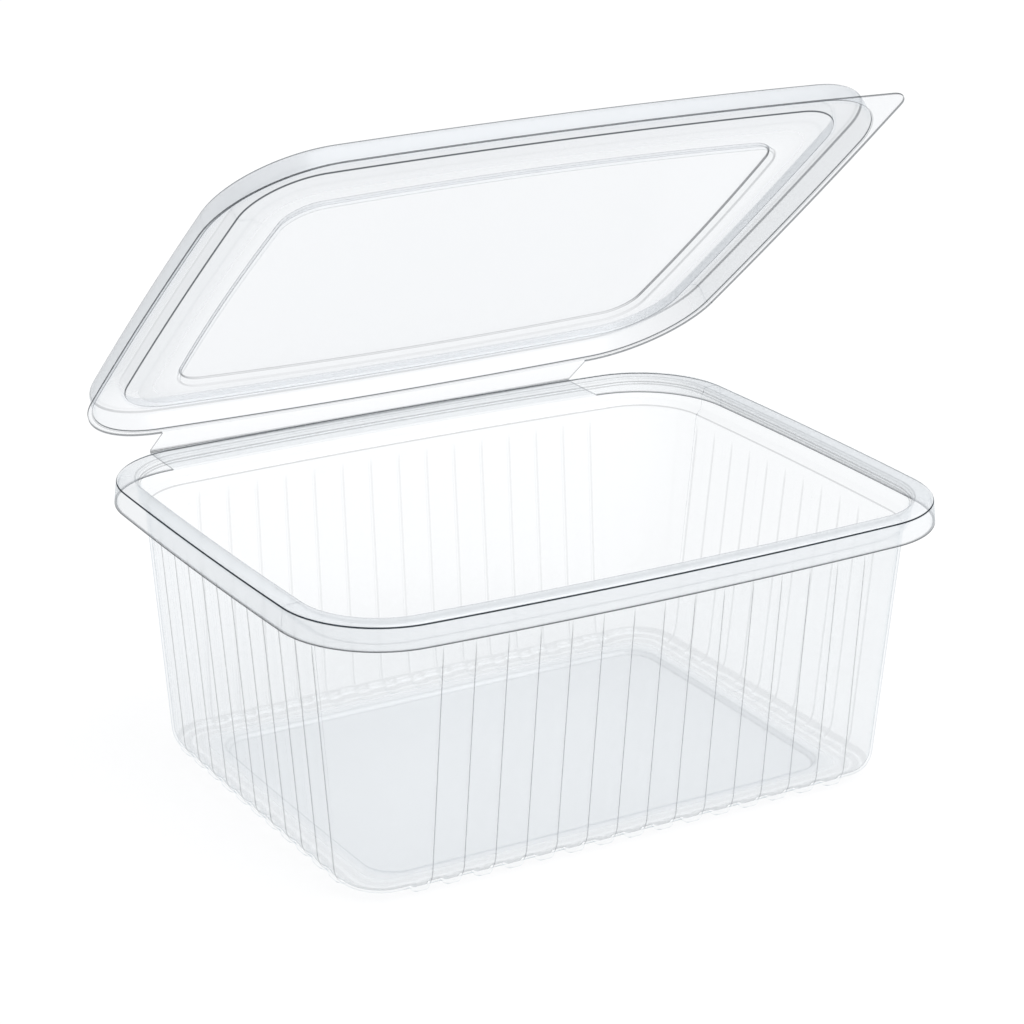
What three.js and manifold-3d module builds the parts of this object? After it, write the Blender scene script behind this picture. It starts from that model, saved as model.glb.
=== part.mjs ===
// Clear takeaway meal container with a hinged lid: a ribbed tub, standing open as in the photograph.
// Millimetres. X runs along the long side, the hinge is at +Y, Z is up, and the table is at Z = 0.
import * as THREE from 'three';
import Module from 'manifold-3d';

// Sheet and clearance
const sheet = 0.6;
const leafSheet = 0.45;
const leafGap = 0.3;

// Plan of the tub's rim: four shallow arcs joined by round corners
const rimLength = 190;
const rimWidth = 147.4;
const rimCorner = 26.6;
const bowLong = 3.4;
const bowShort = 1.75;

// Raised frame round the floor's panel, which is what the tub stands on
const floorLength = 137;
const floorWidth = 93.6;
const floorCorner = 8;
const floorBow = 0.5;

// Heights of the tub, from the table up
const footDrop = 1.3;
const height = 79.3;
const skirtHeight = 6.6;

// Ribs of the walls
const ribPitch = 9;
const shortPitch = 8.7;
const longRibs = 15;
const shortRibs = 11;
const ribWidth = 4.5;
const ribDepth = 1;

// Lid and hinge
const lidOverhang = 3.3;
const leafLength = 10.1;
const leafHalfSpan = 68;
const openAngle = 41.7;
const panelLength = 146.4;
const panelWidth = 103;
const panelCorner = 9.8;
const panelShift = 2;
const tabCorner = 7;

const cornerSteps = 7;
const rimTop = height;
const lipPlane = rimTop - skirtHeight + leafSheet + leafGap;
const hingeHeight = lipPlane - leafGap / 2;
const lidWidth = rimWidth + 2 * lidOverhang;
const panelInset = (rimLength + 2 * lidOverhang - panelLength) / 2;
const floorInset = (rimLength - floorLength) / 2;
const hingeBack = lidWidth / 2 + leafLength;

// One side of the plan: a shallow arc that is highest in its middle, with points at the given stations
function sidePoints(stations, reach, bow, halfChord, side) {
  const radius = (halfChord ** 2 + bow ** 2) / (2 * bow);
  return stations.map((station) => {
    const lean = Math.asin(station.at / radius);
    const out = reach - radius + radius * Math.cos(lean);
    return { along: station.at, out, lean, swell: station.swell, order: side * 2 + station.order };
  });
}

// Centre of the corner arc that touches a long side's arc and a short side's arc from inside
function cornerCentre(plan, corner) {
  const longRadius = (plan.halfLength ** 2 + plan.bowLong ** 2) / (2 * plan.bowLong);
  const shortRadius = (plan.halfWidth ** 2 + plan.bowShort ** 2) / (2 * plan.bowShort);
  const longY = plan.halfWidth - longRadius;
  const shortX = plan.halfLength - shortRadius;
  const toLong = longRadius - corner;
  const toShort = shortRadius - corner;
  const apart = Math.hypot(shortX, longY);
  const along = (toLong ** 2 - toShort ** 2 + apart ** 2) / (2 * apart);
  const aside = Math.sqrt(toLong ** 2 - along ** 2);
  const ux = shortX / apart;
  const uy = -longY / apart;
  const x = along * ux + aside * -uy;
  const y = longY + along * uy + aside * ux;
  const flipX = along * ux - aside * -uy;
  const flipY = longY + along * uy - aside * ux;
  return x > 0 && y > 0 ? { x, y, longY, shortX } : { x: flipX, y: flipY, longY, shortX };
}

// Points of a corner in the quarter where X and Y are positive, from the short side to the long side
function cornerPoints(plan, corner) {
  const centre = cornerCentre(plan, corner);
  const start = Math.atan2(centre.y, centre.x - centre.shortX);
  const end = Math.atan2(centre.y - centre.longY, centre.x);
  const points = [];
  for (let step = 0; step <= cornerSteps; step += 1) {
    const turn = start + ((end - start) * step) / cornerSteps;
    const nx = Math.cos(turn);
    const ny = Math.sin(turn);
    points.push({ x: centre.x + corner * nx, y: centre.y + corner * ny, nx, ny, part: step / cornerSteps });
  }
  return points;
}

// A closed plan, counterclockwise from the front left: points with outward normals and a running order
function outline(plan, longStations, shortStations, corners) {
  const ring = [];
  const addSide = (stations, reach, bow, halfChord, side, turn) => {
    const points = sidePoints(stations, reach, bow, halfChord, side);
    for (const point of points) {
      const place = new THREE.Vector2(point.along, -point.out).rotateAround(new THREE.Vector2(), turn);
      const normal = new THREE.Vector2(Math.sin(point.lean), -Math.cos(point.lean));
      normal.rotateAround(new THREE.Vector2(), turn);
      const { swell, order } = point;
      ring.push({ x: place.x, y: place.y, nx: normal.x, ny: normal.y, swell, order });
    }
  };
  const addCorner = (corner, side, signX, signY) => {
    const points = cornerPoints(plan, corner);
    const flipped = signX * signY < 0;
    const ordered = flipped ? points.slice().reverse() : points;
    for (const point of ordered) {
      const part = flipped ? 1 - point.part : point.part;
      const order = side * 2 + 1 + 0.9 * part;
      const place = { x: signX * point.x, y: signY * point.y, nx: signX * point.nx, ny: signY * point.ny };
      ring.push({ ...place, swell: 0, order });
    }
  };
  addSide(longStations, plan.halfWidth, plan.bowLong, plan.halfLength, 0, 0);
  addCorner(corners[0], 0, 1, -1);
  addSide(shortStations, plan.halfLength, plan.bowShort, plan.halfWidth, 1, Math.PI / 2);
  addCorner(corners[1], 1, 1, 1);
  addSide(longStations, plan.halfWidth, plan.bowLong, plan.halfLength, 2, Math.PI);
  addCorner(corners[2], 2, -1, 1);
  addSide(shortStations, plan.halfLength, plan.bowShort, plan.halfWidth, 3, -Math.PI / 2);
  addCorner(corners[3], 3, -1, -1);
  return ring;
}

// Stations along a side: the middle of every rib, and for a ribbed ring its two feet as well
function stations(count, pitch, ribbed) {
  const reach = ((count - 1) * pitch) / 2 + ribWidth;
  const list = [];
  for (let rib = 0; rib < count; rib += 1) {
    const middle = (rib - (count - 1) / 2) * pitch;
    if (ribbed) {
      list.push({ at: middle - ribWidth / 2, swell: 0 });
    }
    list.push({ at: middle, swell: 1 });
    if (ribbed) {
      list.push({ at: middle + ribWidth / 2, swell: 0 });
    }
  }
  return list.map((station) => ({ ...station, order: (station.at + reach) / (2 * reach) }));
}

// A level of a shell: the plan moved inwards by the inset, at one height, with the ribs pushed out and down
function level(plan, inset, z, ribOut = 0, ribDown = 0) {
  return plan.map((point) => {
    const move = ribOut * point.swell - inset;
    const x = point.x + point.nx * move;
    const y = point.y + point.ny * move;
    return { x, y, z: z - ribDown * point.swell, order: point.order };
  });
}

// The other face of a sheet: a section's line moved sideways by the thickness of the sheet
function otherFace(section, thickness) {
  const direction = (from, to) => new THREE.Vector2(to.inset - from.inset, to.z - from.z).normalize();
  const last = section.length - 1;
  return section.map((knot, index) => {
    const before = index > 0 ? direction(section[index - 1], knot) : new THREE.Vector2(-1, 0);
    const after = index < last ? direction(knot, section[index + 1]) : before;
    const tangent = before.clone().add(after).normalize();
    const stretch = thickness / Math.max(before.dot(tangent), 0.5);
    return { ...knot, inset: knot.inset - tangent.y * stretch, z: knot.z + tangent.x * stretch };
  });
}

// A closed body from rings of points, each joined to the next, with a fan over the first and the last
function loft(levels) {
  const positions = [];
  const triangles = [];
  const starts = levels.map((ring) => {
    const start = positions.length / 3;
    ring.forEach((point) => positions.push(point.x, point.y, point.z));
    return start;
  });
  const join = (first, second, firstStart, secondStart) => {
    let i = 0;
    let k = 0;
    while (i < first.length || k < second.length) {
      const nextFirst = i + 1 < first.length ? first[i + 1].order : 8 + first[0].order;
      const nextSecond = k + 1 < second.length ? second[k + 1].order : 8 + second[0].order;
      const a = firstStart + (i % first.length);
      const b = secondStart + (k % second.length);
      if (k < second.length && (i >= first.length || nextSecond <= nextFirst)) {
        triangles.push(a, b, secondStart + ((k + 1) % second.length));
        k += 1;
      } else {
        triangles.push(a, b, firstStart + ((i + 1) % first.length));
        i += 1;
      }
    }
  };
  const cover = (ring, start, upward) => {
    const middle = positions.length / 3;
    const sum = ring.reduce((total, point) => [total[0] + point.x, total[1] + point.y], [0, 0]);
    positions.push(sum[0] / ring.length, sum[1] / ring.length, ring[0].z);
    for (let index = 0; index < ring.length; index += 1) {
      const here = start + index;
      const next = start + ((index + 1) % ring.length);
      triangles.push(middle, upward ? here : next, upward ? next : here);
    }
  };
  for (let index = 0; index + 1 < levels.length; index += 1) {
    join(levels[index], levels[index + 1], starts[index], starts[index + 1]);
  }
  cover(levels[0], starts[0], true);
  cover(levels[levels.length - 1], starts[levels.length - 1], false);
  const geometry = new THREE.BufferGeometry();
  geometry.setAttribute('position', new THREE.Float32BufferAttribute(positions, 3));
  geometry.setIndex(triangles);
  return geometry;
}

const rimPlan = { halfLength: rimLength / 2, halfWidth: rimWidth / 2, bowLong, bowShort };
const lidPlan = {
  halfLength: rimPlan.halfLength + lidOverhang,
  halfWidth: rimPlan.halfWidth + lidOverhang,
  bowLong,
  bowShort,
};
const lidCorner = rimCorner + lidOverhang;
const fourCorners = [rimCorner, rimCorner, rimCorner, rimCorner];
const plainLong = stations(longRibs, ribPitch, false);
const plainShort = stations(shortRibs, shortPitch, false);
const ribbedLong = stations(longRibs, ribPitch, true);
const ribbedShort = stations(shortRibs, shortPitch, true);

// Section of the tub from its floor panel, up the wall, over the rim and down the skirt
function tubSection() {
  const base = footDrop + sheet;
  return [
    { inset: floorInset, z: sheet, floor: true },
    { inset: floorInset - 0.9, z: base, floor: true },
    { inset: 20.8, z: base, straighten: 0.7, ribbed: true },
    { inset: 18, z: base, straighten: 0.7, ribbed: true, down: footDrop },
    { inset: 15.6, z: base + 1.1, straighten: 0.7, ribbed: true, out: ribDepth, down: 0.9 },
    { inset: 14.5, z: base + 3.6, straighten: 0.7, ribbed: true, out: ribDepth },
    { inset: 8.8, z: rimTop - 13.6, straighten: 0.1, ribbed: true, out: ribDepth },
    { inset: 8.6, z: rimTop - 10.6, ribbed: true },
    { inset: 8.2, z: rimTop - 7.9 },
    { inset: 7.4, z: rimTop - 7 },
    { inset: 6.7, z: rimTop - 6.2 },
    { inset: 6.45, z: rimTop - 1.9 },
    { inset: 5.95, z: rimTop - 1.4 },
    { inset: 5.8, z: rimTop - 0.4 },
    { inset: 5.2, z: rimTop },
    { inset: 0.9, z: rimTop },
    { inset: 0.15, z: rimTop - 0.6 },
    { inset: -0.45, z: rimTop - skirtHeight },
  ];
}

// Levels of a shell from the section of one face and the section of the other
function shellLevels(near, far, planFor) {
  const tour = [...near, ...far.slice().reverse()];
  return tour.map((knot) => {
    const { plan, offset = 0 } = planFor(knot);
    return level(plan, knot.inset - offset, knot.z, knot.out || 0, knot.down || 0);
  });
}

// Stations of a smaller plan, which keeps their number and order but not their spread
function spread(list, share) {
  return list.map((station) => ({ ...station, at: station.at * share }));
}

function tubShell() {
  const half = { halfLength: floorLength / 2, halfWidth: floorWidth / 2 };
  const floorPlan = { ...half, bowLong: floorBow, bowShort: floorBow };
  const floorCorners = fourCorners.map(() => floorCorner);
  const floor = outline(floorPlan, spread(plainLong, 0.9), spread(plainShort, 0.75), floorCorners);
  const wall = (straighten) => {
    const plan = { ...rimPlan, bowLong: bowLong * (1 - straighten), bowShort: bowShort * (1 - straighten) };
    return outline(plan, ribbedLong, ribbedShort, fourCorners);
  };
  const rim = outline(rimPlan, plainLong, plainShort, fourCorners);
  const planFor = (knot) => {
    if (knot.floor) {
      return { plan: floor, offset: floorInset };
    }
    return { plan: knot.ribbed ? wall(knot.straighten || 0) : rim };
  };
  const inside = tubSection();
  return loft(shellLevels(inside, otherFace(inside, sheet), planFor));
}

// Section of the closed lid's top face from the middle panel out to the lip, heights above the lip's plane
function lidSection() {
  return [
    { inset: panelInset, z: 4.8, panel: true },
    { inset: panelInset - 0.6, z: 4.2, panel: true },
    { inset: panelInset - 0.9, z: 2.8, panel: true },
    { inset: 15, z: 2.8 },
    { inset: 12.1, z: 2.8 },
    { inset: 11.1, z: 3.4 },
    { inset: 10.5, z: 6.2 },
    { inset: 9.7, z: 6.8 },
    { inset: 3.4, z: 6.8 },
    { inset: 2.3, z: 6.3 },
    { inset: 2, z: 5.4 },
    { inset: 1.6, z: 0.9 },
    { inset: 1.3, z: 0.6 },
    { inset: 0, z: 0.6, lip: true },
  ];
}

function lidShell() {
  const lidCorners = fourCorners.map(() => lidCorner);
  const body = outline(lidPlan, plainLong, plainShort, lidCorners);
  const lip = outline(lidPlan, plainLong, plainShort, [tabCorner, ...lidCorners.slice(1)]);
  const panelPlan = { halfLength: panelLength / 2, halfWidth: panelWidth / 2, bowLong, bowShort };
  const panelCorners = fourCorners.map(() => panelCorner);
  const panel = outline(panelPlan, spread(plainLong, 0.92), spread(plainShort, 0.82), panelCorners)
    .map((point) => ({ ...point, y: point.y + panelShift }));
  const planFor = (knot) => {
    if (knot.panel) {
      return { plan: panel, offset: panelInset };
    }
    return { plan: knot.lip ? lip : body };
  };
  const top = lidSection();
  return loft(shellLevels(top, otherFace(top, sheet), planFor));
}

// A flat hinge leaf: follows the rim's curve on its inner edge and is straight along the crease
function hingeLeaf(inset, reach, plan) {
  const inner = outline(plan, plainLong, plainShort, fourCorners)
    .filter((point) => point.y > 0 && Math.abs(point.x) < leafHalfSpan)
    .filter((point) => point.ny > 0.9)
    .sort((one, two) => one.x - two.x)
    .map((point) => new THREE.Vector2(point.x - point.nx * inset, point.y - point.ny * inset));
  const first = new THREE.Vector2(-leafHalfSpan, inner[0].y);
  const last = new THREE.Vector2(leafHalfSpan, inner[inner.length - 1].y);
  const corners = [new THREE.Vector2(leafHalfSpan, reach), new THREE.Vector2(-leafHalfSpan, reach)];
  const shape = new THREE.Shape([first, ...inner, last, ...corners]);
  return new THREE.ExtrudeGeometry(shape, { depth: leafSheet, bevelEnabled: false });
}

const wasm = await Module();
wasm.setup();

// Welds the corners that share a place, so that a body can be joined to another
function toSolid(geometry) {
  const flat = geometry.index ? geometry : geometry.clone();
  const positions = flat.getAttribute('position');
  const places = new Map();
  const vertices = [];
  const follow = [];
  for (let index = 0; index < positions.count; index += 1) {
    const place = [positions.getX(index), positions.getY(index), positions.getZ(index)];
    const key = place.map((value) => Math.round(value * 1e5)).join(' ');
    if (!places.has(key)) {
      places.set(key, vertices.length / 3);
      vertices.push(...place);
    }
    follow.push(places.get(key));
  }
  const corners = flat.index ? Array.from(flat.index.array) : follow.map((_, index) => index);
  const triVerts = new Uint32Array(corners.map((corner) => follow[corner]));
  const vertProperties = new Float32Array(vertices);
  return new wasm.Manifold(new wasm.Mesh({ numProp: 3, vertProperties, triVerts }));
}

function toGeometry(solid) {
  const mesh = solid.getMesh();
  const geometry = new THREE.BufferGeometry();
  geometry.setAttribute('position', new THREE.Float32BufferAttribute(mesh.vertProperties, mesh.numProp));
  geometry.setIndex(Array.from(mesh.triVerts));
  return geometry;
}

function makeTub() {
  const leaf = hingeLeaf(0.1, hingeBack - 0.05, rimPlan);
  leaf.translate(0, 0, rimTop - skirtHeight);
  return toGeometry(toSolid(tubShell()).add(toSolid(leaf)));
}

function makeLid() {
  const leaf = hingeLeaf(0.6, hingeBack - 0.05, lidPlan);
  const closed = toGeometry(toSolid(lidShell()).add(toSolid(leaf)));
  closed.translate(0, -hingeBack, lipPlane - hingeHeight);
  closed.rotateX(THREE.MathUtils.degToRad(-openAngle));
  closed.translate(0, hingeBack, hingeHeight);
  return closed;
}

function clearPlastic(color) {
  const looks = { color, roughness: 0.1, metalness: 0, transparent: true, opacity: 0.35 };
  return new THREE.MeshStandardMaterial(looks);
}

function named(name, geometry, material) {
  const mesh = new THREE.Mesh(geometry, material);
  mesh.name = name;
  return mesh;
}

const container = new THREE.Group();
container.name = 'takeaway_container';
container.add(named('tub', makeTub(), clearPlastic(0xdfe9ee)));
container.add(named('lid', makeLid(), clearPlastic(0xe2ebf0)));

export default container;
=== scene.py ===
import math
from collections import namedtuple

import bmesh
import bpy
import numpy as np
from mathutils import Matrix, Vector


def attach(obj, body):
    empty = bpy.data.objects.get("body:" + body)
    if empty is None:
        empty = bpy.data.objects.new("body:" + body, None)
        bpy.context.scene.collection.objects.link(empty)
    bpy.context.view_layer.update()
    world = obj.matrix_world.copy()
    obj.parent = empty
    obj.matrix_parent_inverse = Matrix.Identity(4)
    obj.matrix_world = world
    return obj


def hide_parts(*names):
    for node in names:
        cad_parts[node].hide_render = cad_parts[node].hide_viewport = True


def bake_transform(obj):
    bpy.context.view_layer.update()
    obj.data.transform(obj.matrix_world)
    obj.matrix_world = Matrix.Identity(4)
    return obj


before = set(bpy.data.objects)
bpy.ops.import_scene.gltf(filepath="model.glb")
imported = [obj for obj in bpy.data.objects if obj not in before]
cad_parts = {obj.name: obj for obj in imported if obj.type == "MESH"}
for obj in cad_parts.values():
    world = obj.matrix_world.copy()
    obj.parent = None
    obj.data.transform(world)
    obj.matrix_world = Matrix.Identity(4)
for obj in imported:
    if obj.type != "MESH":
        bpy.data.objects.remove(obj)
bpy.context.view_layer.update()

MM = 0.001

# Sheet and hinge, in millimetres and degrees
SHEET = 0.6
LEAF_SHEET = 0.45
LEAF_GAP = 0.3
CREASE_SHEET = 0.2
CREASE_STEPS = 12
LEAF_LENGTH = 10.1
LEAF_HALF_SPAN = 68.0
LEAF_END_GAP = 0.05
LEAF_CUT = 0.02
OPEN_ANGLE = 41.7

# Plan of the tub's rim: four shallow arcs joined by round corners
RIM_LENGTH = 190.0
RIM_WIDTH = 147.4
RIM_CORNER = 26.6
BOW_LONG = 3.4
BOW_SHORT = 1.75
CORNER_STEPS = 26

# Floor panel and heights of the tub
FLOOR_LENGTH = 137.0
FLOOR_WIDTH = 93.6
FLOOR_CORNER = 8.0
FLOOR_BOW = 0.5
FOOT_DROP = 1.3
HEIGHT = 79.3
SKIRT_HEIGHT = 6.6
SKIRT_FLARE = 0.03
WALL_STRAIGHT = 0.7

# Ribs of the walls, and how wide the painted shade line at each rib's second foot is
LONG_RIBS = 15
SHORT_RIBS = 11
RIB_PITCH = 9.0
SHORT_PITCH = 8.7
RIB_WIDTH = 4.5
RIB_DEPTH = 1.0
RIB_SHOWN = 0.5
RIB_SLOPE = 0.9
RIB_STEPS = 5
INSIDE_SHARE = 0.5
SHORT_SHARE = 0.6
LONG_LINE = 0.3
SHORT_LINE = 0.75

# Lid
LID_OVERHANG = 3.3
PANEL_LENGTH = 146.4
PANEL_WIDTH = 103.0
PANEL_CORNER = 9.8
PANEL_SHIFT = 2.0
TAB_CORNER = 7.0
RIDGE_FOOT = 1.5

# How far the stations of each inner panel spread, as shares of the rim's, on long and on short sides
FLOOR_SPREAD = (0.85, 0.75)
PANEL_SPREAD = (0.88, 0.82)

LIP_PLANE = HEIGHT - SKIRT_HEIGHT + LEAF_SHEET + LEAF_GAP
HINGE_HEIGHT = LIP_PLANE - LEAF_GAP / 2
HINGE_BACK = RIM_WIDTH / 2 + LID_OVERHANG + LEAF_LENGTH
FLOOR_INSET = (RIM_LENGTH - FLOOR_LENGTH) / 2
PANEL_INSET = (RIM_LENGTH + 2 * LID_OVERHANG - PANEL_LENGTH) / 2

# Rounding of the sections and finish of the meshes: steps, shares, millimetres and degrees
FILLET_STEPS = 4
FILLET_REACH = 0.48
MITRE_LEAST = 0.5
TINY = 1e-6
WELD = 0.0005
SHELL_SHARP = 75
CREASE_SHARP = 60

# How wide the painted line of an edge is, and how dark the painted shade along edges, crease and ribs is,
# from 0 to 1; these dark lines stand in for the light that the sheet's bends turn away
EDGE_LINE = 0.35
EDGE_SHADE = 0.7
CREASE_SHADE = 0.35
RIB_LINE_SHADE = 0.6
RIB_SHADE = 0.11

# How milky the faces are, from 0, clear, to 1
WALL_VEIL = 0.15
RIM_VEIL = 0.36
RIM_TOP_VEIL = 0.45
FLOOR_VEIL = 0.55
LID_VEIL = 0.2
LID_WALL_VEIL = 0.4
LEAF_VEIL = 0.04

# What is left of the veils along the hinge: painted light that keeps that side, in the open lid's shade,
# as light as the rest; what is left of the lid's painted shade along its bends there; and the normal's Y
# that counts as facing it
BACK_VEIL_UNDER_SHADE = 0.25
BACK_FOLD_SHADE = 0.4
FACES_BACK = 0.9

# Clear plastic: its colour straight through, the painted shade it takes at a slant, the colour of its
# milkiness, how much more it mirrors at a slant, and how rough it is
Look = namedtuple("Look", "tint slant_tint milk mirror roughness")
TUB_LOOK = Look((0.992, 0.995, 0.997, 1), (0.50, 0.56, 0.60, 1), (0.80, 0.82, 0.84, 1), 0.5, 0.0)
LID_LOOK = Look((0.988, 0.991, 0.995, 1), (0.90, 0.92, 0.93, 1), (0.70, 0.72, 0.74, 1), 0.3, 0.25)
# Near-black colour of the painted shade along bends, edges, crease and ribs
FOLD_SHADE_COLOR = (0.02, 0.03, 0.04, 1)
GLOSS_COLOR = (0.96, 0.98, 1.0, 1)
LEAST_MIRROR = 0.03
MIRROR_POWER = 10.0
SLANT_POWER = 12.0
HIDDEN_SHARE = 0.9

# Studio floor: shade and glow, half side in metres, and how far under the tub in millimetres
FLOOR_SHADE = (0.25, 0.25, 0.25, 1)
FLOOR_GLOW = 0.77
STUDIO_HALF = 4.0
STUDIO_DROP = 0.2

# Sky: how far up, from 0, level, to 1, straight up, and the colour there
SKY_LEVEL = (0.0, (0.9, 0.9, 0.9, 1))
SKY_SLANT = (0.35, (0.42, 0.44, 0.46, 1))
SKY_HIGH = (0.9, (0.75, 0.76, 0.78, 1))

# Sun: strength, then width, tilt and turn in degrees
SUN_STRENGTH = 1.6
SUN_WIDTH = 50
SUN_TILT = 25
SUN_TURN = 40

# Camera, fitted to the photograph: degrees and millimetres, and the nearest it sees in metres
CAMERA_TURN = -30.81
CAMERA_RISE = 20.12
CAMERA_ROLL = 0.59
CAMERA_FAR = 826.71
CAMERA_ASIDE = -2.92
CAMERA_UP = -7.40
CAMERA_LENS = 110.09
CAMERA_SENSOR = 36
CAMERA_NEAR = 0.01

# One corner of a section: how far in from the plan, how high, how round, how dark the painted shade
# along its bend is, how far the ribs stand out and down there, how straight the sides are, how much
# of the inner plan it takes, and how milky the face is
KNOT_DEFAULTS = (0.3, 0, 0, 0, 0, 0, 0)
Knot = namedtuple("Knot", "inset z soft fold out down straight inner veil", defaults=KNOT_DEFAULTS)
Plan = namedtuple("Plan", "half_length half_width bow_long bow_short")
Ring = namedtuple("Ring", "x y nx ny swell foot slope")


def corner_centre(plan, corner):
    """Centre of the arc that touches both sides from inside, and where the sides' own centres lie."""
    long_radius = (plan.half_length**2 + plan.bow_long**2) / (2 * plan.bow_long)
    short_radius = (plan.half_width**2 + plan.bow_short**2) / (2 * plan.bow_short)
    long_y = plan.half_width - long_radius
    short_x = plan.half_length - short_radius
    to_long = long_radius - corner
    to_short = short_radius - corner
    apart = math.hypot(short_x, long_y)
    along = (to_long**2 - to_short**2 + apart**2) / (2 * apart)
    aside = math.sqrt(to_long**2 - along**2)
    ux, uy = short_x / apart, -long_y / apart
    for turn in (1, -1):
        x = along * ux - turn * aside * uy
        y = long_y + along * uy + turn * aside * ux
        if x > 0 and y > 0:
            return x, y, long_y, short_x
    raise ValueError("no centre for this corner")


def corner_points(plan, corner):
    """A corner where X and Y are positive, from the short side to the long side: places and normals."""
    x, y, long_y, short_x = corner_centre(plan, corner)
    turn = np.linspace(math.atan2(y, x - short_x), math.atan2(y - long_y, x), CORNER_STEPS + 1)
    normal = np.stack([np.cos(turn), np.sin(turn)], axis=1)
    return np.array([x, y]) + corner * normal, normal


def side_points(at, reach, bow, half_chord, turn):
    """One bowed side, turned about the middle: places and normals."""
    radius = (half_chord**2 + bow**2) / (2 * bow)
    lean = np.arcsin(at / radius)
    place = np.stack([at, radius - reach - radius * np.cos(lean)], axis=1)
    normal = np.stack([np.sin(lean), -np.cos(lean)], axis=1)
    spin = np.array([[math.cos(turn), math.sin(turn)], [-math.sin(turn), math.cos(turn)]])
    return place @ spin, normal @ spin


def make_ring(plan, corners, spread=(1.0, 1.0)):
    """A closed plan, counterclockwise from the front left, with outward normals and the ribs' marks."""
    places, normals, marks = [], [], []
    long_side = (LONG_STATIONS, spread[0], plan.half_width, plan.bow_long, plan.half_length)
    short_side = (SHORT_STATIONS, spread[1], plan.half_length, plan.bow_short, plan.half_width)
    quarters = ((long_side, 1, -1), (short_side, 1, 1), (long_side, -1, 1), (short_side, -1, -1))
    for index, (side, sign_x, sign_y) in enumerate(quarters):
        (at, mark), share, reach, bow, chord = side
        place, normal = side_points(at * share, reach, bow, chord, index * math.pi / 2)
        places.append(place)
        normals.append(normal)
        marks.append(mark)
        place, normal = corner_points(plan, corners[index])
        signs = np.array([sign_x, sign_y])
        order = slice(None, None, -1) if sign_x * sign_y < 0 else slice(None)
        places.append((place * signs)[order])
        normals.append((normal * signs)[order])
        marks.append(np.zeros((len(place), 3)))
    return Ring(*np.hstack([np.concatenate(places), np.concatenate(normals), np.concatenate(marks)]).T)


def stations(count, pitch, line, height=1.0, ends=()):
    """Stations along one side, with each flat-topped rib's swell, second foot and second slope there."""
    rows = [(-end, 0, 0, 0) for end in reversed(ends)]
    shares = [step / RIB_STEPS for step in range(RIB_STEPS + 1)]
    for rib in range(count):
        middle = (rib - (count - 1) / 2) * pitch
        for side, order in ((-1, shares), (1, shares[::-1])):
            for share in order:
                at = middle + side * (RIB_WIDTH / 2 - RIB_SLOPE * share)
                swell = height * (0.5 - 0.5 * math.cos(math.pi * share))
                foot = side > 0 and share == 0
                slope = side > 0 and 0 < share < 1
                rows.append((at, swell, foot, slope))
        rows.append((middle + RIB_WIDTH / 2 + line, 0, 0, 0))
    rows += [(end, 0, 0, 0) for end in ends]
    table = np.array(rows, float)
    return table[:, 0], table[:, 1:]


LEAF_ENDS = (LEAF_HALF_SPAN, LEAF_HALF_SPAN + LEAF_CUT)
LONG_STATIONS = stations(LONG_RIBS, RIB_PITCH, LONG_LINE, ends=LEAF_ENDS)
SHORT_STATIONS = stations(SHORT_RIBS, SHORT_PITCH, SHORT_LINE, SHORT_SHARE)
RIM_PLAN = Plan(RIM_LENGTH / 2, RIM_WIDTH / 2, BOW_LONG, BOW_SHORT)
LID_PLAN = Plan(RIM_LENGTH / 2 + LID_OVERHANG, RIM_WIDTH / 2 + LID_OVERHANG, BOW_LONG, BOW_SHORT)


def other_face(knots, thickness):
    """The far face of a sheet: the section's corners moved sideways by the sheet's thickness."""
    line = np.array([(knot.inset, knot.z) for knot in knots])
    ways = np.diff(line, axis=0)
    ways /= np.linalg.norm(ways, axis=1)[:, None]
    before = np.concatenate([[[-1.0, 0.0]], ways])
    after = np.concatenate([ways, ways[-1:]])
    tangent = before + after
    tangent /= np.linalg.norm(tangent, axis=1)[:, None]
    stretch = thickness / np.maximum((before * tangent).sum(axis=1), MITRE_LEAST)
    moved = []
    for knot, (along, up), reach in zip(knots, tangent, stretch):
        moved.append(knot._replace(inset=knot.inset - up * reach, z=knot.z + along * reach))
    return moved


def fillet(knots):
    """The section with every inner corner rounded by its own softness."""
    rows = np.array(knots)
    soft = Knot._fields.index("soft")
    fold = Knot._fields.index("fold")
    points = [rows[0]]
    for index in range(1, len(rows) - 1):
        here = rows[index]
        ends = []
        for other in (rows[index - 1], rows[index + 1]):
            apart = max(np.linalg.norm((other - here)[:2]), TINY)
            share = min(here[soft] / apart, FILLET_REACH)
            ends.append(here + (other - here) * share)
        for step in range(FILLET_STEPS + 1):
            t = step / FILLET_STEPS
            point = (1 - t) ** 2 * ends[0] + 2 * t * (1 - t) * here + t**2 * ends[1]
            point[fold] = here[fold] if 0 < step < FILLET_STEPS else 0
            points.append(point)
    points.append(rows[-1])
    return [Knot(*point) for point in points]


def level(knot, outer, inner=None, inner_inset=0.0):
    """Places of one ring of a shell, between the outer plan and the inner plan."""
    move = knot.out * outer.swell - knot.inset
    place = np.stack([outer.x + outer.nx * move, outer.y + outer.ny * move], axis=1)
    if knot.inner > 0:
        offset = inner_inset - knot.inset
        within = np.stack([inner.x + inner.nx * offset, inner.y + inner.ny * offset], axis=1)
        place = place * (1 - knot.inner) + within * knot.inner
    height = knot.z - knot.down * outer.swell
    return np.column_stack([place, height])


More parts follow.
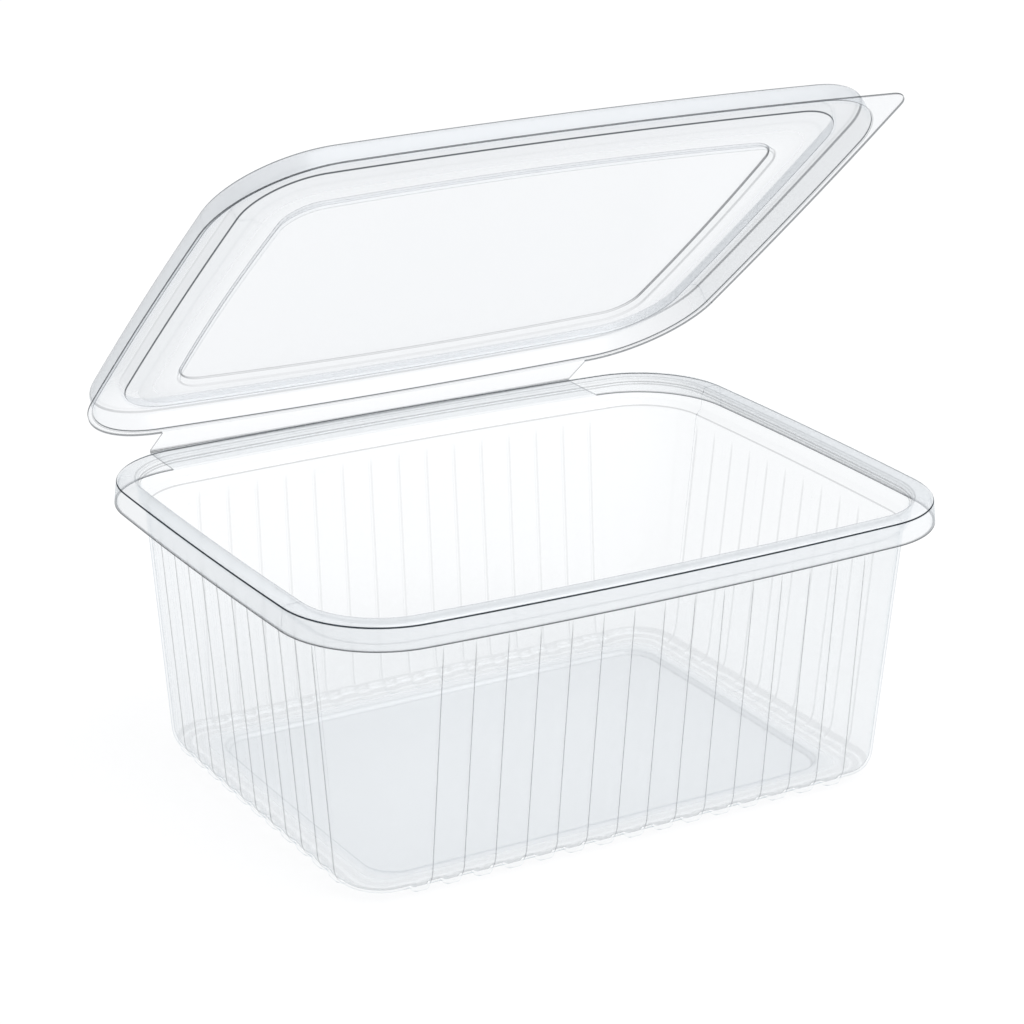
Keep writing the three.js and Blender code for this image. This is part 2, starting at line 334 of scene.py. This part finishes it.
def loft(name, rows):
    """A closed mesh through rows of places, painted shade of the bends, veil and painted shade of the rib
    lines, with a fan over each end.
    """
    levels, fold_shades, veils, lines = zip(*rows)
    count = len(levels[0])
    places = np.concatenate(levels)
    caps = np.array([levels[0].mean(axis=0), levels[-1].mean(axis=0)])
    caps[:, 2] = levels[0][0, 2], levels[-1][0, 2]
    faces = []
    for index in range(len(levels) - 1):
        for here in range(count):
            beyond = (here + 1) % count
            low, high = index * count, (index + 1) * count
            faces.append((low + here, high + here, high + beyond, low + beyond))
    last = (len(levels) - 1) * count
    for here in range(count):
        beyond = (here + 1) % count
        faces.append((len(places), here, beyond))
        faces.append((len(places) + 1, last + beyond, last + here))
    mesh = bpy.data.meshes.new(name)
    mesh.from_pydata((np.concatenate([places, caps]) * MM).tolist(), [], faces)
    for word, shades in (("fold", fold_shades), ("veil", veils), ("rib_line_shade", lines)):
        attribute = mesh.attributes.new(word, "FLOAT", "POINT")
        values = [np.broadcast_to(shade, count) for shade in shades]
        values += [[values[0][0], values[-1][0]]]
        attribute.data.foreach_set("value", np.concatenate(values).astype(np.float32))
    tidy(mesh)
    piece = bpy.data.objects.new(name, mesh)
    bpy.context.scene.collection.objects.link(piece)
    return piece


def tidy(mesh):
    """Joins the points that share a place, drops what that flattens, and shades the mesh smooth."""
    work = bmesh.new()
    work.from_mesh(mesh)
    bmesh.ops.remove_doubles(work, verts=work.verts, dist=WELD * MM)
    bmesh.ops.dissolve_degenerate(work, edges=work.edges, dist=WELD * MM)
    work.to_mesh(mesh)
    work.free()
    mesh.shade_smooth()
    mesh.set_sharp_from_angle(angle=math.radians(SHELL_SHARP))


def on_leaf(ring):
    """Which points of a ring are where the hinge leaf leaves it."""
    within = np.abs(ring.x) < LEAF_HALF_SPAN + LEAF_CUT / 2
    return (ring.y > 0) & within & (ring.ny > FACES_BACK)


def hinge_fade(ring, least):
    """A factor of 1 round the free sides of a ring, which falls to the least one along the hinge."""
    return 1 - (1 - least) * np.clip(ring.ny, 0, 1)


def leaf_rows(ring, edge, top, bottom):
    """Rings round the end of a hinge leaf: straight along the crease, and back on the edge elsewhere."""
    leaf = on_leaf(ring)
    end = HINGE_BACK - LEAF_END_GAP
    before = end - EDGE_LINE
    rows = []
    for y, height, shade in ((before, top, 0), (end, top, 1), (end, bottom, 1), (before, bottom, 0)):
        tip = edge.copy()
        tip[:, 1] = y
        tip[:, 2] = height
        # Painted shade: the crease's along the leaf, the edge's line elsewhere
        shades = np.where(leaf, shade * CREASE_SHADE, EDGE_SHADE)
        rows.append((np.where(leaf[:, None], tip, edge), shades, LEAF_VEIL, 0))
    return rows


def tub_section():
    """The tub's inner face from the floor panel up the wall, over the rim and down the skirt."""
    base = FOOT_DROP + SHEET
    floor = {"inner": 1, "veil": FLOOR_VEIL}
    wall = {"straight": WALL_STRAIGHT, "veil": WALL_VEIL}
    ledge = {"veil": WALL_VEIL}
    top = {"veil": RIM_TOP_VEIL}
    skirt = {"veil": RIM_VEIL}
    # A knot's fourth number is the painted shade along its bend
    return [
        Knot(FLOOR_INSET + 3, SHEET, **floor),
        Knot(FLOOR_INSET, SHEET, 0.5, 0.12, **floor),
        Knot(FLOOR_INSET - 0.9, base, 0.5, 0.1, **floor),
        Knot(20.8, base, 1.0, 0.06, **wall),
        Knot(18, base, 1.4, 0.1, down=FOOT_DROP, **wall),
        Knot(15.6, base + 1.1, 1.3, 0.12, RIB_DEPTH, 0.9, **wall),
        Knot(14.5, base + 3.6, 1.3, 0, RIB_SHOWN, 0, **wall),
        Knot(8.8, HEIGHT - 13.6, 2.0, 0, RIB_SHOWN, 0, 0.1, **ledge),
        Knot(8.6, HEIGHT - 10.6, 0.8, **ledge),
        Knot(8.2, HEIGHT - 7.9, 0.3, 0.25, **ledge),
        Knot(7.4, HEIGHT - 7, 0.4, **ledge),
        Knot(6.7, HEIGHT - 6.2, 0.4, **ledge),
        Knot(6.45, HEIGHT - 1.9, 0.3, 0.25, **ledge),
        Knot(5.95, HEIGHT - 1.4, 0.3, 0.3, **ledge),
        Knot(5.8, HEIGHT - 0.4, 0.3, 0.1, **top),
        Knot(5.2, HEIGHT, 0.4, 0.2, **top),
        Knot(0.9, HEIGHT, 0.4, **top),
        Knot(0.15, HEIGHT - 0.6, 0.32, 1, **skirt),
        Knot(-0.42, HEIGHT - SKIRT_HEIGHT + LEAF_SHEET, **skirt),
    ]


def make_tub():
    """The tub with its ribbed walls, rim, skirt and lower hinge leaf, as one closed sheet."""
    floor_plan = Plan(FLOOR_LENGTH / 2, FLOOR_WIDTH / 2, FLOOR_BOW, FLOOR_BOW)
    inner = make_ring(floor_plan, [FLOOR_CORNER] * 4, FLOOR_SPREAD)
    walls = {}

    def wall(straight):
        """The plan at one height of the wall, made once for each straightness."""
        key = round(straight, 6)
        if key not in walls:
            plan = RIM_PLAN._replace(bow_long=BOW_LONG * (1 - key), bow_short=BOW_SHORT * (1 - key))
            walls[key] = make_ring(plan, [RIM_CORNER] * 4)
        return walls[key]

    def face(knots, inside):
        """The rows of one face of the sheet; the ribs are shallower on the inside, and their painted shade
        line is fainter there.
        """
        rows = []
        for knot in fillet(knots):
            ring = wall(knot.straight)
            # Painted shade: a dark line at each rib's second foot outside, a faint band on its second
            # slope inside
            reach = min(knot.out / RIB_SHOWN, 1)
            line = reach * (ring.slope * RIB_SHADE if inside else ring.foot * RIB_LINE_SHADE)
            if inside:
                knot = knot._replace(out=knot.out * INSIDE_SHARE, down=knot.down * INSIDE_SHARE)
            # Painted light: above mid-height the milk thins along the hinge, so that the rim in the open
            # lid's shade reads as light as elsewhere
            veil = knot.veil * (hinge_fade(ring, BACK_VEIL_UNDER_SHADE) if knot.z > HEIGHT / 2 else 1)
            rows.append((level(knot, ring, inner, FLOOR_INSET), knot.fold, veil, line))
        return rows

    near = tub_section()
    far = [knot._replace(veil=0, fold=0) for knot in other_face(near, SHEET)]
    bottom = HEIGHT - SKIRT_HEIGHT
    ring = wall(0)
    edge_out = level(Knot(near[-1].inset - SKIRT_FLARE, bottom), ring)
    edge_in = level(Knot(near[-1].inset + SHEET, bottom), ring)
    edges = leaf_rows(ring, edge_out, bottom + LEAF_SHEET, bottom)
    leaf = on_leaf(ring)
    # The skirt's inner edge takes the edge's painted shade line, except along the leaf
    edges.append((edge_in, np.where(leaf, 0, EDGE_SHADE), np.where(leaf, LEAF_VEIL, RIM_VEIL), 0))
    return loft("tub_shell", face(near, True) + edges + face(far, False)[::-1])


def lid_section():
    """The shut lid's top face from the middle panel out to the lip, heights above the lip's plane."""
    panel = {"inner": 1, "veil": LID_VEIL}
    lip = {"veil": LID_VEIL}
    wall = {"veil": LID_WALL_VEIL}
    # A knot's fourth number is the painted shade along its bend
    return [
        Knot(PANEL_INSET + 3, 4.8, **panel),
        Knot(PANEL_INSET, 4.8, 0.35, 0.65, **panel),
        Knot(PANEL_INSET - 0.6, 4.2, 0.3, **panel),
        Knot(PANEL_INSET - 0.9, 2.8, 0.4, 0.2, **panel),
        Knot(15, 2.8, 0.5, 0.05, **wall),
        Knot(12.1, 2.8, 0.5, **wall),
        Knot(11.1, 3.4, 0.3, 0.9, **wall),
        Knot(10.5, 6.2, 0.3, 0.1, **wall),
        Knot(9.7, 6.8, 0.5, **wall),
        Knot(3.4, 6.8, 0.6, 0.1, **wall),
        Knot(2.3, 6.3, 0.5, 0.6, **wall),
        Knot(2, 5.4, 0.3, **wall),
        Knot(1.6, 0.9, 0.3, 0.8, **wall),
        Knot(1.3, 0.6, 0.2, 0.3, **lip),
        Knot(EDGE_LINE, 0.6, **lip),
        Knot(0, 0.6, fold=EDGE_SHADE, **lip),
    ]


def make_lid():
    """The lid with its panel, ridge, lip, tab and upper hinge leaf, as one closed sheet, turned open."""
    corner = RIM_CORNER + LID_OVERHANG
    body = make_ring(LID_PLAN, [corner] * 4)
    lip = make_ring(LID_PLAN, [TAB_CORNER] + [corner] * 3)
    panel_plan = Plan(PANEL_LENGTH / 2, PANEL_WIDTH / 2, BOW_LONG, BOW_SHORT)
    panel = make_ring(panel_plan, [PANEL_CORNER] * 4, PANEL_SPREAD)
    panel = panel._replace(y=panel.y + PANEL_SHIFT)
    near = lid_section()
    far = [knot._replace(veil=0, fold=knot.fold * knot.inner) for knot in other_face(near, SHEET)]

    def face(knots):
        """The rows of one face of the sheet, on the lid's body as far as the lip, and then on the lip."""
        rounded = fillet(knots[:-1])
        rows = []
        for knot in rounded[:-1]:
            fold, veil = knot.fold, knot.veil
            # Along the hinge the lid's painted shade of the bends is lighter, and its milk thins: painted
            # light that keeps the hinge side as light as the rest
            if knot.z > RIDGE_FOOT:
                fold = fold * hinge_fade(body, BACK_FOLD_SHADE)
            if not knot.inner:
                veil = veil * hinge_fade(body, BACK_VEIL_UNDER_SHADE)
            rows.append((level(knot, body, panel, PANEL_INSET), fold, veil, 0))
        ends = ((rounded[-1], 0), (knots[-1], knots[-1].fold * ~on_leaf(lip)))
        return rows + [(level(knot, lip), fold, knot.veil, 0) for knot, fold in ends]

    # The lip's edge takes the edge's painted shade line, except along the leaf
    edge = level(Knot(0, LEAF_SHEET / 2), lip)
    edges = [(level(Knot(0, LEAF_SHEET), lip), EDGE_SHADE * ~on_leaf(lip), LEAF_VEIL, 0)]
    edges += leaf_rows(lip, edge, LEAF_SHEET, 0)
    piece = loft("lid_shell", face(near) + edges + face(far)[::-1])
    down = Matrix.Translation(Vector((0, -HINGE_BACK, LIP_PLANE - HINGE_HEIGHT)) * MM)
    turn = Matrix.Rotation(math.radians(-OPEN_ANGLE), 4, "X")
    back = Matrix.Translation(Vector((0, HINGE_BACK, HINGE_HEIGHT)) * MM)
    piece.data.transform(back @ turn @ down)
    return piece


def make_crease():
    """The thin film of the living hinge, which bends round the crease from one leaf to the other."""
    steps = CREASE_STEPS
    inner, outer = LEAF_GAP / 2, LEAF_GAP / 2 + CREASE_SHEET
    start, end = -math.pi / 2, math.radians(90 - OPEN_ANGLE)
    section = []
    for radius, order in ((inner, range(steps + 1)), (outer, range(steps, -1, -1))):
        for step in order:
            turn = start + (end - start) * step / steps
            y = HINGE_BACK + radius * math.cos(turn)
            z = HINGE_HEIGHT + radius * math.sin(turn)
            section.append((y, z))
    count = len(section)
    places = [(side * LEAF_HALF_SPAN * MM, y * MM, z * MM) for side in (-1, 1) for y, z in section]
    faces = [(k, (k + 1) % count, count + (k + 1) % count, count + k) for k in range(count)]
    for step in range(steps):
        quad = (step, count - 1 - step, count - 2 - step, step + 1)
        faces.append(quad)
        faces.append(tuple(count + corner for corner in reversed(quad)))
    mesh = bpy.data.meshes.new("crease_film")
    mesh.from_pydata(places, [], faces)
    # The whole film takes the crease's painted shade
    mesh.attributes.new("fold", "FLOAT", "POINT").data.foreach_set("value", [CREASE_SHADE] * len(places))
    work = bmesh.new()
    work.from_mesh(mesh)
    bmesh.ops.recalc_face_normals(work, faces=work.faces)
    work.to_mesh(mesh)
    work.free()
    mesh.shade_smooth()
    mesh.set_sharp_from_angle(angle=math.radians(CREASE_SHARP))
    piece = bpy.data.objects.new("crease_film", mesh)
    bpy.context.scene.collection.objects.link(piece)
    return piece, start, end


class Tree:
    """A material's nodes, made one after another."""

    def __init__(self, name):
        self.material = bpy.data.materials.new(name)
        self.material.use_nodes = True
        self.nodes = self.material.node_tree.nodes
        self.links = self.material.node_tree.links
        self.nodes.clear()

    def feed(self, socket, value):
        """Links the output of another node to a socket, or sets a plain value on it."""
        if isinstance(value, bpy.types.NodeSocket):
            self.links.new(value, socket)
        else:
            socket.default_value = value

    def add(self, kind, inputs=None, **settings):
        """A new node with its settings and inputs."""
        node = self.nodes.new(kind)
        for name, value in settings.items():
            setattr(node, name, value)
        for name, value in (inputs or {}).items():
            self.feed(node.inputs[name], value)
        return node

    def read(self, attribute):
        """The value that the mesh keeps under this name."""
        return self.add("ShaderNodeAttribute", attribute_name=attribute).outputs["Fac"]

    def maths(self, operation, *values):
        """The result of a sum on two or three values."""
        return self.add("ShaderNodeMath", dict(enumerate(values)), operation=operation).outputs[0]

    def mix(self, factor, first, second):
        """A colour between two colours; sockets 0, 6 and 7 are those of a colour mix."""
        node = self.add("ShaderNodeMix", data_type="RGBA")
        for index, value in ((0, factor), (6, first), (7, second)):
            self.feed(node.inputs[index], value)
        return node.outputs[2]


def clear_plastic(name, look):
    """Clear sheet: it lets light straight through and mirrors more at a slant; painted shade darkens it
    along its bends, edges and ribs' lines, and at a slant.
    """
    tree = Tree(name)
    layer = tree.add("ShaderNodeLayerWeight", {"Blend": 0.5})
    facing = layer.outputs["Facing"]
    # A rib's painted shade line is faded by the layer's Fresnel, so that most of it is hidden where the
    # sheet is seen from within the tub
    hidden = tree.maths("MULTIPLY", layer.outputs["Fresnel"], HIDDEN_SHARE)
    seen = tree.maths("MULTIPLY", tree.read("rib_line_shade"), tree.maths("SUBTRACT", 1.0, hidden))
    # Painted shade of the lines along bends and ribs, which darkens both the clear and the milky part
    dark = tree.maths("MAXIMUM", tree.read("fold"), seen)
    # Darker at a slant: partly the sheet's tint over a longer way through it, mostly painted shade that
    # stands in for the light which slanted faces turn away
    slant = tree.maths("POWER", facing, SLANT_POWER)
    body = tree.mix(slant, look.tint, look.slant_tint)
    clear = tree.add("ShaderNodeBsdfTransparent", {"Color": tree.mix(dark, body, FOLD_SHADE_COLOR)})
    milk = tree.add("ShaderNodeBsdfDiffuse", {"Color": tree.mix(dark, look.milk, FOLD_SHADE_COLOR)})
    layers = {0: tree.read("veil"), 1: clear.outputs[0], 2: milk.outputs[0]}
    veiled = tree.add("ShaderNodeMixShader", layers)
    gloss = tree.add("ShaderNodeBsdfGlossy", {"Color": GLOSS_COLOR, "Roughness": look.roughness})
    rise = tree.maths("POWER", facing, MIRROR_POWER)
    share = tree.maths("MULTIPLY_ADD", rise, look.mirror, LEAST_MIRROR)
    mixed = tree.add("ShaderNodeMixShader", {0: share, 1: veiled.outputs[0], 2: gloss.outputs[0]})
    tree.add("ShaderNodeOutputMaterial", {"Surface": mixed.outputs[0]})
    return tree.material


def pale_floor():
    """A floor that glows, so that it stays white and still takes a soft shade."""
    tree = Tree("pale_floor")
    surface = tree.add("ShaderNodeBsdfPrincipled", {
        "Base Color": FLOOR_SHADE,
        "Roughness": 1.0,
        "Specular IOR Level": 0,
        "Emission Color": (1, 1, 1, 1),
        "Emission Strength": FLOOR_GLOW,
    })
    tree.add("ShaderNodeOutputMaterial", {"Surface": surface.outputs[0]})
    return tree.material


def make_floor():
    """The studio's floor, just under the tub's base."""
    half = STUDIO_HALF
    below = -STUDIO_DROP * MM
    mesh = bpy.data.meshes.new("studio_floor")
    corners = [(-half, -half, below), (half, -half, below), (half, half, below), (-half, half, below)]
    mesh.from_pydata(corners, [], [(0, 1, 2, 3)])
    floor = bpy.data.objects.new("studio_floor", mesh)
    bpy.context.scene.collection.objects.link(floor)
    mesh.materials.append(pale_floor())


def make_world():
    """A soft studio: nearly white round and below, grey above, and paler straight up."""
    world = bpy.data.worlds.new("studio")
    world.use_nodes = True
    nodes, links = world.node_tree.nodes, world.node_tree.links
    background = nodes["Background"]
    place = nodes.new("ShaderNodeTexCoord")
    split = nodes.new("ShaderNodeSeparateXYZ")
    ramp = nodes.new("ShaderNodeValToRGB")
    links.new(place.outputs["Generated"], split.inputs[0])
    links.new(split.outputs["Z"], ramp.inputs[0])
    links.new(ramp.outputs[0], background.inputs["Color"])
    stops = ramp.color_ramp.elements
    stops[0].position, stops[0].color = SKY_LEVEL
    stops[1].position, stops[1].color = SKY_SLANT
    height, color = SKY_HIGH
    stops.new(height).color = color
    background.inputs["Strength"].default_value = 1.0
    bpy.context.scene.world = world


def add_sun():
    """A very wide sun, for the soft shade on the floor."""
    light = bpy.data.lights.new("soft_key", "SUN")
    light.energy = SUN_STRENGTH
    light.angle = math.radians(SUN_WIDTH)
    lamp = bpy.data.objects.new("soft_key", light)
    lamp.rotation_euler = (math.radians(SUN_TILT), 0, math.radians(SUN_TURN))
    bpy.context.scene.collection.objects.link(lamp)


def make_camera():
    """The camera of the photograph, far back from the middle of the tub's mouth and a little aside."""
    turn, rise, roll = (math.radians(value) for value in (CAMERA_TURN, CAMERA_RISE, CAMERA_ROLL))
    back = Vector((math.sin(turn) * math.cos(rise), -math.cos(turn) * math.cos(rise), math.sin(rise)))
    level_right = Vector((math.cos(turn), math.sin(turn), 0))
    level_up = back.cross(level_right)
    right = level_right * math.cos(roll) + level_up * math.sin(roll)
    up = level_up * math.cos(roll) - level_right * math.sin(roll)
    place = back * CAMERA_FAR + right * CAMERA_ASIDE + up * CAMERA_UP + Vector((0, 0, HEIGHT))
    data = bpy.data.cameras.new("camera")
    data.lens = CAMERA_LENS
    data.sensor_width = CAMERA_SENSOR
    data.clip_start = CAMERA_NEAR
    camera = bpy.data.objects.new("camera", data)
    axes = Matrix((right, up, back)).transposed().to_4x4()
    camera.matrix_world = Matrix.Translation(place * MM) @ axes
    bpy.context.scene.collection.objects.link(camera)
    bpy.context.scene.camera = camera


def finish_look():
    """Plain colours, and enough steps for light that goes through the many faces of the sheets."""
    scene = bpy.context.scene
    scene.view_settings.view_transform = "Standard"
    scene.cycles.transparent_max_bounces = 64
    scene.cycles.max_bounces = 3
    scene.cycles.diffuse_bounces = 1
    scene.cycles.glossy_bounces = 1
    scene.cycles.use_denoising = True


make_camera()
tub = make_tub()
lid = make_lid()
crease, crease_start, crease_end = make_crease()

tub.data.materials.append(clear_plastic("clear_tub", TUB_LOOK))
lid.data.materials.append(clear_plastic("clear_lid", LID_LOOK))
crease.data.materials.append(tub.data.materials[0])

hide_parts("tub")
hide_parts("lid")
for piece, body in ((tub, "tub"), (lid, "lid")):
    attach(piece, body)
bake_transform(crease)

make_floor()
make_world()
add_sun()
finish_look()
